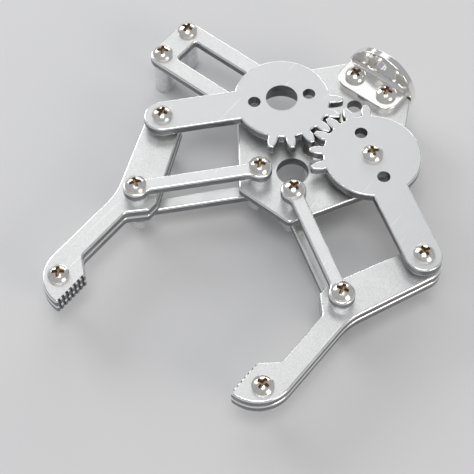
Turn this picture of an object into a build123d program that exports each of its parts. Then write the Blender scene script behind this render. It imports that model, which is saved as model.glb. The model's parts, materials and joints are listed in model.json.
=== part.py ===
from build123d import *
import os
from math import acos, cos, degrees, pi, radians, sin, sqrt, tan

# Gear-driven two-finger robot gripper, plate construction, millimetres.
# Modelled in the plate frame: X forward to the finger tips, Y to the gripper's
# own left, Z up, Z = 0 on the top of the base plate, origin midway between the
# two gear axes. Everything is then shifted so that the part's origin is the
# centre of the wrist flange's outer face.

# ---- mechanism ----
centre_distance = 28.0            # between the gear axes
gear_teeth_full = 18              # teeth a full wheel would have
gear_module = centre_distance / gear_teeth_full
sector_teeth = 6
arm_length = 30.4                 # gear axis to elbow, and link pin to link pin
crank_x, crank_y = 20.15, 8.8     # gear axis to link root = elbow to link end
rest_right = -40.8                # direction of the drive arm as built, degrees
rest_left = 58.9                  # direction of the driven arm as built
gear_phase = -2.2                 # tooth position off the line of centres
backlash = 0.12                   # taken off each tooth's thickness

# ---- plates and stack ----
plate_t = 2.5
edge_round = 0.5
gear_edge_round = 0.4
arm_z = 2.2                       # underside of the gear arms and upper links
finger_top_z = 0.8
link_low_z = -7.2                 # underside of the lower links
post_h = 10.7                     # servo posts, ear height of a standard servo
arm_half_w = 4.5
gear_disc_r = 12.1
gear_tip_r = 15.5
link_half_w = 1.75
link_end_r = 3.1
finger_end_r = 4.7

# ---- fasteners ----
shank_r = 1.5
running_r = 1.55
head_r, head_h = 2.6, 1.95
nut_af = 5.5
nyloc_h, plain_nut_h = 4.0, 2.4
washer_r = 3.0
horn_pcd = 14.0
horn_hole_r = 1.6
horn_bore_r = 4.0

# ---- base plate ----
front_x, rear_x = 25.9, -23.2
frame_half_w = 8.3
frame_end_y = -52.4
lobe_r = 7.25
lobe_slope = 0.53
window_half_w = 3.7
window_y0, window_y1 = -45.45, -24.0
window_corner_r = 0.8
boss_hole_r = 6.2
front_hole_x, front_hole_r = 13.5, 4.0
rear_hole_x, rear_hole_r = -12.4, 1.9

# ---- servo posts: 49.5 x 10 mm ear pattern, shaft 14.25 mm from the near row
ear_far, ear_near, ear_half = 35.25, 14.25, 5.0
post_r = 2.5
tap_r = 1.25                      # M3 tapping size, threads left out
tap_depth = 5.6                   # from the post's free end

# ---- wrist bracket ----
flange_r, flange_t = 10.0, 2.0
leg_t = 2.0
leg_front_x, leg_half_w = -14.7, 9.0
flange_in_x = -23.4
flange_z = -1.25
bracket_screw_x, bracket_screw_y = -19.1, 4.8

ORIGIN = (-(flange_in_x - flange_t), 0.0, -flange_z)

G1 = (0.0, -centre_distance / 2)
G2 = (0.0, centre_distance / 2)


def polar(centre, r, angle):
    return (centre[0] + r * cos(radians(angle)), centre[1] + r * sin(radians(angle)))


A1 = polar(G1, arm_length, rest_right)
A2 = polar(G2, arm_length, rest_left)
L1 = (G1[0] + crank_x, G1[1] + crank_y)
L2 = (G2[0] + crank_x, G2[1] - crank_y)
B1 = (A1[0] + crank_x, A1[1] + crank_y)
B2 = (A2[0] + crank_x, A2[1] - crank_y)

parts = {}


# ------------------------------------------------------------------ helpers
def corner(sketch, point, r):
    vertex = min(
        sketch.vertices(),
        key=lambda v: (v.X - point[0]) ** 2 + (v.Y - point[1]) ** 2,
    )
    return fillet(vertex, r)


def slab(sketch, z0, z1, r=edge_round):
    """A plate from z0 to z1, its profile's edges rounded; round holes stay sharp."""
    body = extrude(Pos(0, 0, z0) * sketch, amount=z1 - z0)
    rims = [
        e
        for e in body.edges()
        if (abs(e.center().Z - z0) < 1e-4 or abs(e.center().Z - z1) < 1e-4)
        and not e.is_closed
    ]
    return fillet(rims, r)


def drill(body, x, y, r, z0=-30.0, z1=30.0):
    return body - Pos(x, y, (z0 + z1) / 2) * Cylinder(r, z1 - z0)


def pan_screw(x, y, seat, length, turn):
    """M3 pan head with a cross recess; the seat is the underside of the head."""
    rim = 0.75
    rise = head_h - rim
    dome = (head_r**2 + rise**2) / (2 * rise)
    head = Pos(0, 0, rim / 2) * Cylinder(head_r, rim)
    ball = Pos(0, 0, head_h - dome) * Sphere(dome)
    head = head + (ball & (Pos(0, 0, rim + rise / 2) * Cylinder(head_r, rise)))
    shank = Pos(0, 0, -length / 2) * Cylinder(shank_r, length)
    shank = chamfer(shank.edges().group_by(Axis.Z)[0], 0.3)
    screw = head + shank
    for quarter in (0, 90):
        slot = extrude(
            Pos(0, 0, head_h + 0.1) * Rot(0, 0, quarter) * Rectangle(3.1, 1.0),
            amount=1.35,
            dir=(0, 0, -1),
            taper=12,
        )
        screw = screw - slot
    return Pos(x, y, seat) * Rot(0, 0, turn) * screw


def flat_screw(x, y, top, length, turn):
    """M3 countersunk, its top flush with the plate."""
    screw = Pos(0, 0, -0.825) * Cone(shank_r, 2.9, 1.65)
    screw = screw + Pos(0, 0, -length / 2 - 0.8) * Cylinder(shank_r, length - 1.6)
    for quarter in (0, 90):
        slot = extrude(
            Pos(0, 0, 0.1) * Rot(0, 0, quarter) * Rectangle(2.6, 0.7),
            amount=1.1,
            dir=(0, 0, -1),
            taper=10,
        )
        screw = screw - slot
    return Pos(x, y, top) * Rot(0, 0, turn) * screw


def nut(x, y, top, height, turn):
    """A hexagon nut hanging under `top`; the tall ones have a locking collar."""
    hexagon = RegularPolygon(nut_af / 2, 6, major_radius=False)
    if height > 3:
        body = Pos(0, 0, -2.6) * extrude(hexagon, amount=2.6)
        body = body & (Pos(0, 0, -1.3) * Cylinder(3.02, 2.6))
        collar = Pos(0, 0, -2.6 - (height - 2.6) / 2) * Cylinder(2.45, height - 2.6)
        collar = fillet(collar.edges().group_by(Axis.Z)[0], 0.6)
        body = body + collar
    else:
        body = Pos(0, 0, -height) * extrude(hexagon, amount=height)
        body = body & (Pos(0, 0, -height / 2) * Cylinder(3.02, height))
    body = body - Pos(0, 0, -height / 2) * Cylinder(shank_r, height + 1)
    return Pos(x, y, top) * Rot(0, 0, turn) * body


def ring(x, y, z0, z1, outer, inner=shank_r):
    body = Pos(x, y, (z0 + z1) / 2) * Cylinder(outer, z1 - z0)
    return drill(body, x, y, inner)


# --------------------------------------------------------------- base plate
norm = sqrt(1 + lobe_slope**2)
tangent = (lobe_slope / norm * lobe_r, G2[1] + lobe_r / norm)
front_y = tangent[1] - lobe_slope * (front_x - tangent[0])
rear_y = tangent[1] - lobe_slope * (-rear_x - tangent[0])
fx, rx, tx = front_x, rear_x, tangent[0]
base_wire = Wire(
    [
        Line((fx, -7.0), (fx, front_y)),
        Line((fx, front_y), tangent),
        ThreePointArc(tangent, (0, G2[1] + lobe_r), (-tx, tangent[1])),
        Line((-tx, tangent[1]), (rx, rear_y)),
        Line((rx, rear_y), (rx, -9.6)),
        Line((rx, -9.6), (-frame_half_w, -21.7)),
        Line((-frame_half_w, -21.7), (-frame_half_w, frame_end_y)),
        Line((-frame_half_w, frame_end_y), (frame_half_w, frame_end_y)),
        Line((frame_half_w, frame_end_y), (frame_half_w, -21.7)),
        Line((frame_half_w, -21.7), (fx, -7.0)),
    ]
)
base_sketch = make_face(base_wire)
for point, r in (
    ((fx, -7.0), 1.4),
    ((fx, front_y), 1.4),
    ((rx, rear_y), 1.4),
    ((rx, -9.6), 1.4),
    ((-frame_half_w, frame_end_y), 3.3),
    ((frame_half_w, frame_end_y), 3.3),
    ((-frame_half_w, -21.7), 0.8),
    ((frame_half_w, -21.7), 0.8),
):
    base_sketch = corner(base_sketch, point, r)
window = RectangleRounded(2 * window_half_w, window_y1 - window_y0, window_corner_r)
base_sketch = base_sketch - Pos(0, (window_y0 + window_y1) / 2) * window
base = slab(base_sketch, -plate_t, 0.0)
base = drill(base, G1[0], G1[1], boss_hole_r)
base = drill(base, front_hole_x, 0, front_hole_r)
base = drill(base, rear_hole_x, 0, rear_hole_r)
base = drill(base, G2[0], G2[1], shank_r)
for point in (L1, L2):
    base = drill(base, point[0], point[1], running_r)
for side in (-1, 1):
    base = drill(base, bracket_screw_x, side * bracket_screw_y, shank_r)
    base = drill(base, side * ear_half, G1[1] - ear_far, shank_r)
    base = drill(base, side * ear_half, G1[1] + ear_near, shank_r)
    base = base - Pos(side * ear_half, G1[1] + ear_near, -0.825) * Cone(
        shank_r, 2.9, 1.65
    )
parts["base_plate"] = base

# ------------------------------------------------------------- wrist bracket
leg = Rectangle(leg_front_x - flange_in_x, 2 * leg_half_w)
leg = Pos((leg_front_x + flange_in_x) / 2, 0) * leg
leg = corner(leg, (leg_front_x, leg_half_w), 4.0)
leg = corner(leg, (leg_front_x, -leg_half_w), 4.0)
leg = extrude(leg, amount=leg_t)
leg = fillet(
    [e for e in leg.edges() if e.center().Z > leg_t - 1e-4 and e.center().X > flange_in_x + 0.1],
    0.3,
)
disc = Pos(flange_in_x - flange_t / 2, 0, flange_z) * Rot(0, 90, 0) * Cylinder(
    flange_r, flange_t
)
disc = fillet(disc.edges().filter_by(GeomType.CIRCLE), 0.3)
# The flange's inner rim is cut back square where the leg leaves it.
seam = Pos(flange_in_x - 0.5, 0, leg_t / 2) * Box(1.0, 2 * leg_half_w, leg_t)
bend_r = 1.2
bend = Pos(flange_in_x + bend_r / 2, 0, leg_t + bend_r / 2) * Box(
    bend_r, 2 * leg_half_w - 2.4, bend_r
) - Pos(flange_in_x + bend_r, 0, leg_t + bend_r) * Rot(90, 0, 0) * Cylinder(
    bend_r, 2 * leg_half_w
)
bracket = disc + leg + seam + bend
for side in (-1, 1):
    bracket = drill(bracket, bracket_screw_x, side * bracket_screw_y, shank_r)
    bracket = bracket - Pos(
        flange_in_x - flange_t / 2, 0, flange_z + side * horn_pcd / 2
    ) * Rot(0, 90, 0) * Cylinder(horn_hole_r, flange_t + 2)
parts["wrist_bracket"] = bracket
for side, tag, turn in ((1, "left", 20), (-1, "right", 65)):
    y = side * bracket_screw_y
    parts["bracket_screw_" + tag] = pan_screw(bracket_screw_x, y, leg_t, 8.0, turn)
    parts["bracket_nut_" + tag] = nut(
        bracket_screw_x, y, -plate_t, plain_nut_h, turn / 2
    )

# --------------------------------------------------------------- servo posts
for side, tag, turn in ((1, "front", 35), (-1, "rear", 10)):
    x = side * ear_half
    far_y, near_y = G1[1] - ear_far, G1[1] + ear_near
    for name, y in (("outer", far_y), ("inner", near_y)):
        post = ring(x, y, -plate_t - post_h, -plate_t, post_r, tap_r)
        post = drill(post, x, y, shank_r, -plate_t - post_h + tap_depth, 0.0)
        rims = [
            e
            for e in post.edges().filter_by(GeomType.CIRCLE)
            if abs(e.radius - post_r) < 1e-3
        ]
        parts[f"servo_post_{name}_{tag}"] = chamfer(rims, 0.25)
    parts["post_screw_outer_" + tag] = pan_screw(x, far_y, 0.0, 5.0, turn)
    parts["post_screw_inner_" + tag] = flat_screw(x, near_y, 0.0, 5.0, turn)


# ----------------------------------------------------------------- gear arms
def tooth(centre, angle):
    """One involute tooth, its flanks as arcs through three involute points."""
    pitch_r = centre_distance / 2
    base_r = pitch_r * cos(radians(20))

    def inv(r):
        a = acos(min(1.0, base_r / r))
        return tan(a) - a

    half_pitch = (pi * gear_module / 2 - backlash) / (2 * pitch_r)

    def flank(r, side):
        psi = half_pitch + inv(pitch_r) - inv(r)
        return polar(centre, r, angle + side * degrees(psi))

    r0, r1, r2 = base_r + 1e-6, (base_r + gear_tip_r) / 2, gear_tip_r
    low = [polar(centre, gear_disc_r - 0.6, angle + s * degrees(half_pitch + inv(pitch_r))) for s in (-1, 1)]
    return make_face(
        Wire(
            [
                Line(low[0], flank(r0, -1)),
                ThreePointArc(flank(r0, -1), flank(r1, -1), flank(r2, -1)),
                ThreePointArc(
                    flank(r2, -1), polar(centre, r2, angle), flank(r2, 1)
                ),
                ThreePointArc(flank(r2, 1), flank(r1, 1), flank(r0, 1)),
                Line(flank(r0, 1), low[1]),
                Line(low[1], low[0]),
            ]
        )
    )


def gear_arm(centre, elbow, direction, first_tooth):
    body = Pos(*centre) * Circle(gear_disc_r)
    for i in range(sector_teeth):
        body = body + tooth(centre, first_tooth + i * 360.0 / gear_teeth_full)
    for v in list(body.vertices()):
        r = sqrt((v.X - centre[0]) ** 2 + (v.Y - centre[1]) ** 2)
        if abs(r - gear_tip_r) < 0.01:
            body = corner(body, (v.X, v.Y), 0.42)
        elif abs(r - gear_disc_r) < 0.01:
            body = corner(body, (v.X, v.Y), 0.5)
    middle = ((centre[0] + elbow[0]) / 2, (centre[1] + elbow[1]) / 2)
    beam = Pos(*middle) * Rot(0, 0, direction) * Rectangle(arm_length, 2 * arm_half_w)
    body = body + beam + Pos(*elbow) * Circle(arm_half_w)
    return body


def gear_blank(centre, elbow, direction, first_tooth, bore_r):
    body = gear_arm(centre, elbow, direction, first_tooth)
    body = body - Pos(*centre) * Circle(bore_r) - Pos(*elbow) * Circle(shank_r)
    for turn in (0, 180):
        spot = polar(centre, horn_pcd / 2, direction + turn)
        body = body - Pos(*spot) * Circle(horn_hole_r)
    return slab(body, arm_z, arm_z + plate_t, gear_edge_round)


parts["drive_gear_arm"] = gear_blank(
    G1, A1, rest_right, 90 + gear_phase - 60, horn_bore_r
)
parts["driven_gear_arm"] = gear_blank(
    G2, A2, rest_left, -90 - gear_phase - 50, running_r
)

parts["driven_pivot_screw"] = pan_screw(G2[0], G2[1], arm_z + plate_t, 12.0, 50)
parts["driven_pivot_spacer"] = ring(G2[0], G2[1], 0.0, arm_z, 3.2)
parts["driven_pivot_nut"] = nut(G2[0], G2[1], -plate_t, nyloc_h, 12)

finger_low_z = finger_top_z - 2 * plate_t
link_low_top = link_low_z + plate_t
for tag, elbow, turn in (("right", A1, 15), ("left", A2, 70)):
    x, y = elbow
    parts[f"{tag}_elbow_screw"] = pan_screw(x, y, arm_z + plate_t, 16.0, turn)
    parts[f"{tag}_elbow_washer"] = ring(x, y, finger_top_z, arm_z, washer_r)
    parts[f"{tag}_elbow_lower_washer"] = ring(x, y, link_low_top, finger_low_z, washer_r)
    parts[f"{tag}_elbow_nut"] = nut(x, y, link_low_top, nyloc_h, turn + 9)


# ------------------------------------------------------------------- fingers
def finger_sketch():
    """Local outline: origin at the elbow, X forward, Y towards the other finger."""
    out_a, in_a = 22.6, 25.0
    flat_y, jaw_y, waist_y, shoulder_y = 4.4, 14.2, 10.0, 13.9
    tip_x, tip_r = 54.4, 9.05
    r = finger_end_r
    start = (r * sin(radians(out_a)), -r * cos(radians(out_a)))
    end = (-r * sin(radians(in_a)), r * cos(radians(in_a)))
    knee_x = (r + cos(radians(out_a)) * flat_y) / sin(radians(out_a))
    shoulder_x = (cos(radians(in_a)) * shoulder_y - r) / sin(radians(in_a))
    tip_c = (tip_x - tip_r, flat_y + tip_r)
    arc_mid = polar(tip_c, tip_r, -45)
    face = make_face(
        Wire(
            [
                Line(start, (knee_x, flat_y)),
                Line((knee_x, flat_y), (tip_c[0], flat_y)),
                ThreePointArc((tip_c[0], flat_y), arc_mid, (tip_x, tip_c[1])),
                Line((tip_x, tip_c[1]), (tip_x, jaw_y)),
                Line((tip_x, jaw_y), (44.7, jaw_y)),
                Line((44.7, jaw_y), (41.1, waist_y)),
                Line((41.1, waist_y), (25.8, waist_y)),
                Line((25.8, waist_y), (21.7, shoulder_y)),
                Line((21.7, shoulder_y), (shoulder_x, shoulder_y)),
                Line((shoulder_x, shoulder_y), end),
                ThreePointArc(end, polar((0, 0), r, 203.8), start),
            ]
        )
    )
    for point, radius in (
        ((knee_x, flat_y), 16.0),
        ((41.1, waist_y), 1.6),
        ((25.8, waist_y), 1.6),
        ((21.7, shoulder_y), 1.0),
        ((shoulder_x, shoulder_y), 1.0),
        ((44.7, jaw_y), 0.7),
        ((tip_x, jaw_y), 0.7),
    ):
        face = corner(face, point, radius)
    return face


tip_hole = (48.65, 9.4)
notch_first, notch_last, notch_count = 53.5, 45.6, 7
notch_w, notch_d = 0.75, 0.45


def finger_plate(elbow, side, z0, z1):
    body = slab(finger_sketch(), z0, z1)
    for i in range(notch_count):
        x = notch_first + (notch_last - notch_first) * i / (notch_count - 1)
        body = body - Pos(x, 14.2 - notch_d + 1.0, (z0 + z1) / 2) * Box(
            notch_w, 2.0, z1 - z0 + 1
        )
    body = drill(body, 0, 0, running_r)
    body = drill(body, crank_x, crank_y, running_r)
    body = drill(body, tip_hole[0], tip_hole[1], shank_r)
    if side < 0:
        body = mirror(body, Plane.XZ)
    return Pos(elbow[0], elbow[1], 0) * body


for tag, elbow, side, turn in (("right", A1, 1, 40), ("left", A2, -1, 5)):
    parts[f"{tag}_finger_upper"] = finger_plate(
        elbow, side, finger_top_z - plate_t, finger_top_z
    )
    parts[f"{tag}_finger_lower"] = finger_plate(
        elbow, side, finger_low_z, finger_top_z - plate_t
    )
    x, y = elbow[0] + tip_hole[0], elbow[1] + side * tip_hole[1]
    parts[f"{tag}_tip_screw"] = pan_screw(x, y, finger_top_z, 10.0, turn)
    parts[f"{tag}_tip_nut"] = nut(x, y, finger_low_z, plain_nut_h, turn + 17)


# --------------------------------------------------------------------- links
def link_plate(root, end, direction, z0):
    middle = ((root[0] + end[0]) / 2, (root[1] + end[1]) / 2)
    strip = Pos(*middle) * Rot(0, 0, direction) * Rectangle(
        arm_length, 2 * link_half_w
    )
    body = strip + Pos(*root) * Circle(link_end_r) + Pos(*end) * Circle(link_end_r)
    reach = sqrt(link_end_r**2 - link_half_w**2)
    for centre, heading in ((root, direction), (end, direction + 180)):
        neck = polar(centre, reach, heading)
        for side in (90, -90):
            body = corner(body, polar(neck, link_half_w, heading + side), 2.0)
    body = slab(body, z0, z0 + plate_t)
    body = drill(body, root[0], root[1], shank_r)
    return drill(body, end[0], end[1], shank_r)


for tag, root, end, direction, turn in (
    ("right", L1, B1, rest_right, 30),
    ("left", L2, B2, rest_left, 80),
):
    parts[f"{tag}_link_upper"] = link_plate(root, end, direction, arm_z)
    parts[f"{tag}_link_lower"] = link_plate(root, end, direction, link_low_z)
    top = arm_z + plate_t
    parts[f"{tag}_link_root_screw"] = pan_screw(root[0], root[1], top, 16.0, turn)
    parts[f"{tag}_link_root_spacer"] = ring(root[0], root[1], 0.0, arm_z, washer_r)
    parts[f"{tag}_link_root_lower_spacer"] = ring(
        root[0], root[1], link_low_top, -plate_t, washer_r
    )
    parts[f"{tag}_link_root_nut"] = nut(root[0], root[1], link_low_z, nyloc_h, turn)
    parts[f"{tag}_link_end_screw"] = pan_screw(end[0], end[1], top, 16.0, turn + 25)
    parts[f"{tag}_link_end_washer"] = ring(end[0], end[1], finger_top_z, arm_z, washer_r)
    parts[f"{tag}_link_end_lower_washer"] = ring(
        end[0], end[1], link_low_top, finger_low_z, washer_r
    )
    parts[f"{tag}_link_end_nut"] = nut(end[0], end[1], link_low_z, nyloc_h, turn + 40)

# -------------------------------------------------------------------- export
os.makedirs("parts", exist_ok=True)
for name, shape in parts.items():
    solids = shape.solids()
    whole = solids[0] if len(solids) == 1 else Compound(solids)
    placed = Pos(*ORIGIN) * whole
    placed.label = name
    export_step(placed, f"parts/{name}.step")
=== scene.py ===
import json
import math

import bpy
from mathutils import Matrix, Vector


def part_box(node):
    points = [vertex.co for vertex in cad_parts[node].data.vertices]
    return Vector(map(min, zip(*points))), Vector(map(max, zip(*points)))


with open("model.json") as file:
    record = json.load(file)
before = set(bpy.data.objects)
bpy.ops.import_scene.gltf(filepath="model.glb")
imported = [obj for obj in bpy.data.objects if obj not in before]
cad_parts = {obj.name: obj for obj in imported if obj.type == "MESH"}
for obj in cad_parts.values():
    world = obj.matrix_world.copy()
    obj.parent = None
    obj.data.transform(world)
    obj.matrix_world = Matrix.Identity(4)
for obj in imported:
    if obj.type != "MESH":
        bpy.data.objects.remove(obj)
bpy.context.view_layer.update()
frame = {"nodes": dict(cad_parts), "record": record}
scene = bpy.context.scene
nodes = frame["nodes"]
slots = {s["node"]: s["material_slot"] for s in frame["record"]["subparts"]}


# ------------------------------------------------------------- node helpers
class Graph:
    def __init__(self, name):
        self.mat = bpy.data.materials.new(name)
        self.mat.use_nodes = True
        self.t = self.mat.node_tree
        self.t.nodes.clear()
        self.out = self.t.nodes.new("ShaderNodeOutputMaterial")
        self.bsdf = self.t.nodes.new("ShaderNodeBsdfPrincipled")
        self.link(self.bsdf.outputs["BSDF"], self.out.inputs["Surface"])
        self.coord = self.t.nodes.new("ShaderNodeTexCoord").outputs["Object"]
        self.normal = self.t.nodes.new("ShaderNodeNewGeometry").outputs["Normal"]

    def link(self, a, b):
        self.t.links.new(a, b)

    def put(self, socket, value):
        if hasattr(value, "is_output") or isinstance(value, bpy.types.NodeSocket):
            self.link(value, socket)
        else:
            socket.default_value = value

    def math(self, op, a, b=None, c=None, clamp=False):
        n = self.t.nodes.new("ShaderNodeMath")
        n.operation = op
        n.use_clamp = clamp
        for socket, value in zip(n.inputs, (a, b, c)):
            if value is not None:
                self.put(socket, value)
        return n.outputs[0]

    def vmath(self, op, a, b=None):
        n = self.t.nodes.new("ShaderNodeVectorMath")
        n.operation = op
        self.put(n.inputs[0], a)
        if b is not None:
            self.put(n.inputs[1], b)
        return n.outputs["Value"] if op in ("LENGTH", "DOT_PRODUCT") else n.outputs["Vector"]

    def ramp(self, value, low, high, out0=0.0, out1=1.0, smooth=True):
        n = self.t.nodes.new("ShaderNodeMapRange")
        n.interpolation_type = "SMOOTHSTEP" if smooth else "LINEAR"
        self.put(n.inputs["Value"], value)
        n.inputs["From Min"].default_value = low
        n.inputs["From Max"].default_value = high
        n.inputs["To Min"].default_value = out0
        n.inputs["To Max"].default_value = out1
        return n.outputs["Result"]

    def noise(self, scale, detail=2.0, rough=0.5, stretch=None, turn=0.0, shift=(0, 0, 0)):
        vector = self.coord
        if stretch is not None or turn or any(shift):
            m = self.t.nodes.new("ShaderNodeMapping")
            m.inputs["Scale"].default_value = stretch or (1, 1, 1)
            m.inputs["Rotation"].default_value = (0, 0, turn)
            m.inputs["Location"].default_value = shift
            self.link(self.coord, m.inputs["Vector"])
            vector = m.outputs["Vector"]
        n = self.t.nodes.new("ShaderNodeTexNoise")
        n.inputs["Scale"].default_value = scale
        n.inputs["Detail"].default_value = detail
        n.inputs["Roughness"].default_value = rough
        self.link(vector, n.inputs["Vector"])
        return n.outputs["Fac"]

    def mix(self, fac, a, b):
        n = self.t.nodes.new("ShaderNodeMix")
        n.data_type = "RGBA"
        self.put(n.inputs["Factor"], fac)
        for socket, value in ((n.inputs["A"], a), (n.inputs["B"], b)):
            pass
        colours = [s for s in n.inputs if s.type == "RGBA"]
        for socket, value in zip(colours, (a, b)):
            if isinstance(value, bpy.types.NodeSocket):
                self.link(value, socket)
            else:
                socket.default_value = (*value, 1.0)
        return [s for s in n.outputs if s.type == "RGBA"][0]

    def lerp(self, fac, a, b):
        n = self.t.nodes.new("ShaderNodeMix")
        n.data_type = "FLOAT"
        floats = [s for s in n.inputs if s.type == "VALUE"]
        self.put(floats[0], fac)
        self.put(floats[1], a)
        self.put(floats[2], b)
        return [s for s in n.outputs if s.type == "VALUE"][0]

    def bump(self, height, strength, distance, normal=None):
        n = self.t.nodes.new("ShaderNodeBump")
        n.inputs["Strength"].default_value = strength
        n.inputs["Distance"].default_value = distance
        self.link(height, n.inputs["Height"])
        if normal is not None:
            self.link(normal, n.inputs["Normal"])
        return n.outputs["Normal"]

    def steep(self):
        """0 on faces that lie flat, 1 on upright faces."""
        z = self.t.nodes.new("ShaderNodeSeparateXYZ")
        self.link(self.normal, z.inputs[0])
        return self.math("ABSOLUTE", z.outputs["Z"])

    def scratches(self, scale, turn, threshold, shift):
        n = self.noise(scale, 1.0, 0.4, (1.0, 34.0, 1.0), turn, shift)
        return self.ramp(n, threshold, threshold + 0.02)


def plate_material(name, shift, dark, light, r0, r1):
    """Bead-blasted aluminium sheet: a fine frosted grain on the flats, tumbled rims given a painted highlight,
    and painted shade darkening the cut sides.
    """
    g = Graph(name)
    up = g.steep()
    flat = g.ramp(up, 0.955, 0.995)
    rim_painted_highlight_and_gloss = g.math("MULTIPLY", g.ramp(up, 0.06, 0.24), g.math("SUBTRACT", 1.0, flat))
    grain = g.noise(5200.0, 3.0, 0.7, shift=shift)
    mottle = g.noise(230.0, 4.0, 0.6, shift=shift)
    cloud = g.noise(38.0, 3.0, 0.55, shift=shift)
    top = g.mix(g.ramp(grain, 0.32, 0.68), dark, light)
    top = g.mix(g.ramp(mottle, 0.40, 0.75, 0.0, 0.10), top, (0.93, 0.935, 0.93))
    top = g.mix(g.ramp(cloud, 0.45, 0.8, 0.0, 0.06), top, (0.55, 0.56, 0.57))
    lines = g.noise(900.0, 2.0, 0.6, (0.35, 0.35, 6.0), 0.0, shift)
    # painted shade: upright cut sides get a dark base colour so they read as shaded; the stretched noise adds
    # real machining lines
    painted_shade_side = g.mix(g.ramp(lines, 0.3, 0.7), (0.17, 0.175, 0.185), (0.36, 0.365, 0.375))
    colour = g.mix(flat, painted_shade_side, top)
    # painted highlight: the rounded rims get a near-white base colour so they read as catching the light; their
    # lower roughness is real
    colour = g.mix(rim_painted_highlight_and_gloss, colour, (0.97, 0.97, 0.965))
    nick = g.math(
        "ADD",
        g.scratches(55.0, 0.5, 0.745, shift),
        g.scratches(48.0, 2.1, 0.75, (shift[1], shift[0], shift[2])),
        clamp=True,
    )
    nick = g.math("MULTIPLY", nick, flat)
    colour = g.mix(g.math("MULTIPLY", nick, 0.45), colour, (0.99, 0.99, 0.99))
    g.link(colour, g.bsdf.inputs["Base Color"])
    g.bsdf.inputs["Metallic"].default_value = 1.0
    rough = g.lerp(flat, g.ramp(lines, 0.3, 0.7, 0.34, 0.46), g.ramp(mottle, 0.3, 0.7, r0, r1))
    rough = g.lerp(rim_painted_highlight_and_gloss, rough, g.ramp(mottle, 0.3, 0.7, 0.16, 0.26))
    rough = g.lerp(g.math("MULTIPLY", nick, 0.6), rough, 0.22)
    g.link(rough, g.bsdf.inputs["Roughness"])
    first = g.bump(grain, 0.16, 0.00004)
    second = g.bump(g.math("ADD", g.math("MULTIPLY", mottle, 1.0), g.math("MULTIPLY", nick, -0.5)), 0.12, 0.00012, first)
    g.link(second, g.bsdf.inputs["Normal"])
    return g.mat


def polished_material(name):
    """Polished aluminium: faint buffing lines and handling marks."""
    g = Graph(name)
    buff = g.noise(420.0, 3.0, 0.65, (6.0, 0.5, 1.0), 0.2)
    cloud = g.noise(60.0, 3.0, 0.6)
    marks = g.scratches(70.0, 1.1, 0.73, (3, 1, 2))
    colour = g.mix(g.ramp(cloud, 0.35, 0.7), (0.93, 0.925, 0.91), (0.83, 0.815, 0.79))
    colour = g.mix(g.ramp(buff, 0.4, 0.8, 0.0, 0.18), colour, (0.70, 0.68, 0.65))
    g.link(colour, g.bsdf.inputs["Base Color"])
    g.bsdf.inputs["Metallic"].default_value = 1.0
    rough = g.math("ADD", g.ramp(buff, 0.3, 0.7, 0.10, 0.20), g.math("MULTIPLY", marks, 0.15))
    g.link(rough, g.bsdf.inputs["Roughness"])
    g.link(g.bump(buff, 0.07, 0.00005), g.bsdf.inputs["Normal"])
    return g.mat


def turned_material(name, light, dark, r0, r1):
    """Turned or rolled small hardware."""
    g = Graph(name)
    rings = g.noise(1500.0, 2.0, 0.5, (0.15, 0.15, 5.0))
    cloud = g.noise(320.0, 3.0, 0.6)
    colour = g.mix(g.ramp(rings, 0.3, 0.7), dark, light)
    colour = g.mix(g.ramp(cloud, 0.5, 0.8, 0.0, 0.35), colour, tuple(0.6 * c for c in light))
    g.link(colour, g.bsdf.inputs["Base Color"])
    g.bsdf.inputs["Metallic"].default_value = 1.0
    g.link(g.ramp(cloud, 0.3, 0.7, r0, r1), g.bsdf.inputs["Roughness"])
    g.link(g.bump(rings, 0.08, 0.00004), g.bsdf.inputs["Normal"])
    return g.mat


HEAD_R, RIM_H, HEAD_H = 2.6e-3, 0.75e-3, 1.95e-3
DOME_R = (HEAD_R**2 + (HEAD_H - RIM_H) ** 2) / (2 * (HEAD_H - RIM_H))


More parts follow.
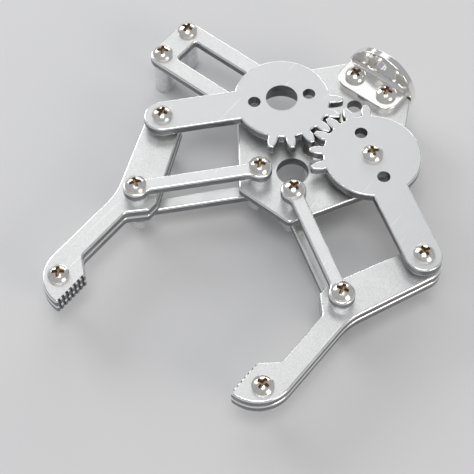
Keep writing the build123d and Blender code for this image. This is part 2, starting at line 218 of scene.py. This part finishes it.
def screw_material(name, low, high, domed):
    """Nickel-plated steel; the driver recess is brownish and dull, with painted shade darkening it, the rest
    bright.
    """
    g = Graph(name)
    cx, cy, top = (low[0] + high[0]) / 2, (low[1] + high[1]) / 2, high[2]
    centre = (cx, cy, top - DOME_R) if domed else (cx, cy, top)
    offset = g.vmath("SUBTRACT", g.coord, centre)
    axial = g.vmath("SUBTRACT", g.vmath("MULTIPLY", g.coord, (1, 1, 0)), (cx, cy, 0))
    radius = g.vmath("LENGTH", axial)
    z = g.t.nodes.new("ShaderNodeSeparateXYZ")
    g.link(g.coord, z.inputs[0])
    if domed:
        sunk = g.ramp(g.vmath("LENGTH", offset), DOME_R - 0.00022, DOME_R - 0.00005, 1.0, 0.0)
    else:
        sunk = g.ramp(z.outputs["Z"], top - 0.0002, top - 0.00005, 1.0, 0.0)
    inside = g.ramp(radius, 0.00165, 0.00185, 1.0, 0.0)
    above = g.ramp(z.outputs["Z"], top - 0.00155, top - 0.00145)
    recess = g.math("MULTIPLY", g.math("MULTIPLY", sunk, inside), above)
    cloud = g.noise(700.0, 3.0, 0.6)
    fine = g.noise(3600.0, 2.0, 0.5)
    # plating wears thin round the recess, where the driver bears
    worn = g.math("MULTIPLY", g.ramp(radius, 0.0009, 0.0021, 1.0, 0.0), g.ramp(cloud, 0.35, 0.65))
    colour = g.mix(g.ramp(cloud, 0.35, 0.7), (0.93, 0.915, 0.885), (0.82, 0.79, 0.73))
    colour = g.mix(g.math("MULTIPLY", worn, 0.35), colour, (0.66, 0.57, 0.43))
    # painted shade: the recess colour is a brownish tint of the plating darkened to stand for the shade inside
    # it
    colour = g.mix(recess, colour, g.mix(g.ramp(fine, 0.35, 0.65), (0.30, 0.21, 0.12), (0.56, 0.43, 0.28)))
    thread = g.ramp(radius, 0.00155, 0.00165, 1.0, 0.0)
    shank = g.math("MULTIPLY", thread, g.ramp(z.outputs["Z"], top - 0.0023, top - 0.0021, 1.0, 0.0))
    colour = g.mix(shank, colour, (0.58, 0.57, 0.55))
    g.link(colour, g.bsdf.inputs["Base Color"])
    g.bsdf.inputs["Metallic"].default_value = 1.0
    rough = g.lerp(recess, g.ramp(cloud, 0.3, 0.7, 0.13, 0.24), 0.5)
    g.link(rough, g.bsdf.inputs["Roughness"])
    # M3 thread on the shank
    wave = g.math("SINE", g.math("MULTIPLY", z.outputs["Z"], 2 * math.pi / 0.0005))
    height = g.math("MULTIPLY", wave, shank)
    first = g.bump(fine, 0.05, 0.00003)
    g.link(g.bump(height, 0.7, 0.00012, first), g.bsdf.inputs["Normal"])
    return g.mat


shared = {
    "polished_bracket": polished_material("polished_aluminium"),
    "spacer_aluminium": turned_material("turned_aluminium", (0.86, 0.86, 0.87), (0.68, 0.69, 0.70), 0.2, 0.34),
    "zinc_nut": turned_material("zinc_plated_steel", (0.80, 0.81, 0.82), (0.60, 0.61, 0.62), 0.24, 0.38),
}
for i, (name, obj) in enumerate(sorted(nodes.items())):
    kind = slots[name]
    if kind == "satin_aluminium":
        if "gear" in name:  # finely blasted, matte
            look = ((0.59, 0.60, 0.60), (0.76, 0.77, 0.765), 0.42, 0.50)
        else:  # tumbled brighter
            look = ((0.63, 0.632, 0.63), (0.85, 0.85, 0.84), 0.32, 0.44)
        mat = plate_material("satin_" + name, (0.37 * i, 0.21 * i, 0.11 * i), *look)
    elif kind == "nickel_screw":
        low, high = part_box(name)
        mat = screw_material("nickel_" + name, low, high, "post_screw_inner" not in name)
    else:
        mat = shared[kind]
    obj.data.materials.clear()
    obj.data.materials.append(mat)
    for polygon in obj.data.polygons:
        polygon.material_index = 0

# --------------------------------------------------------------------- floor
lowest = min(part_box(n)[0].z for n in nodes)
bpy.ops.mesh.primitive_plane_add(size=6.0, location=(0.05, 0.0, lowest))
floor = bpy.context.object
floor.name = "floor"
g = Graph("pale_floor")
tone = g.noise(3.0, 2.0, 0.5)
g.link(g.mix(g.ramp(tone, 0.3, 0.7), (0.66, 0.66, 0.665), (0.69, 0.69, 0.695)), g.bsdf.inputs["Base Color"])
g.bsdf.inputs["Roughness"].default_value = 0.75
floor.data.materials.append(g.mat)


# --------------------------------------------------------------------- light
def area(name, place, aim, size, power, colour=(1, 1, 1), size_y=None):
    data = bpy.data.lights.new(name, "AREA")
    data.shape = "RECTANGLE"
    data.size = size
    data.size_y = size_y or size
    data.energy = power
    data.color = colour
    lamp = bpy.data.objects.new(name, data)
    scene.collection.objects.link(lamp)
    lamp.location = place
    lamp.rotation_euler = (Vector(aim) - Vector(place)).to_track_quat("-Z", "Y").to_euler()
    return lamp


middle = (0.06, 0.0, 0.0)
area("overhead_softbox", (0.22, 0.12, 0.95), middle, 0.42, 2.3)
area("left_softbox", (-0.05, -0.85, 0.50), middle, 0.45, 2.4)
area("right_softbox", (0.10, 0.85, 0.42), middle, 0.40, 1.9, (1.0, 0.94, 0.85))
area("rear_strip", (-0.85, -0.45, 0.34), middle, 0.9, 2.2, size_y=0.22)
area("rear_softbox", (-0.42, -0.385, 0.92), middle, 0.62, 1.0)
world = bpy.data.worlds.new("studio")
world.use_nodes = True
world.node_tree.nodes["Background"].inputs["Color"].default_value = (0.86, 0.87, 0.9, 1)
world.node_tree.nodes["Background"].inputs["Strength"].default_value = 0.46
scene.world = world
scene.view_settings.view_transform = "Standard"

# -------------------------------------------------------------------- camera
back = Vector((0.41442, 0.33353, 0.84674)).normalized()
right = Vector((-0.62697, 0.77904, 0.0)).normalized()
up = back.cross(right).normalized()
roll = math.radians(-0.09)
right, up = (
    right * math.cos(roll) + up * math.sin(roll),
    up * math.cos(roll) - right * math.sin(roll),
)
data = bpy.data.cameras.new("camera")
data.lens = 100.81
data.sensor_width = 36.0
camera = bpy.data.objects.new("camera", data)
scene.collection.objects.link(camera)
camera.matrix_world = Matrix(
    (
        (right.x, up.x, back.x, 0.19377),
        (right.y, up.y, back.y, 0.10702),
        (right.z, up.z, back.z, 0.26979),
        (0, 0, 0, 1),
    )
)
scene.camera = camera
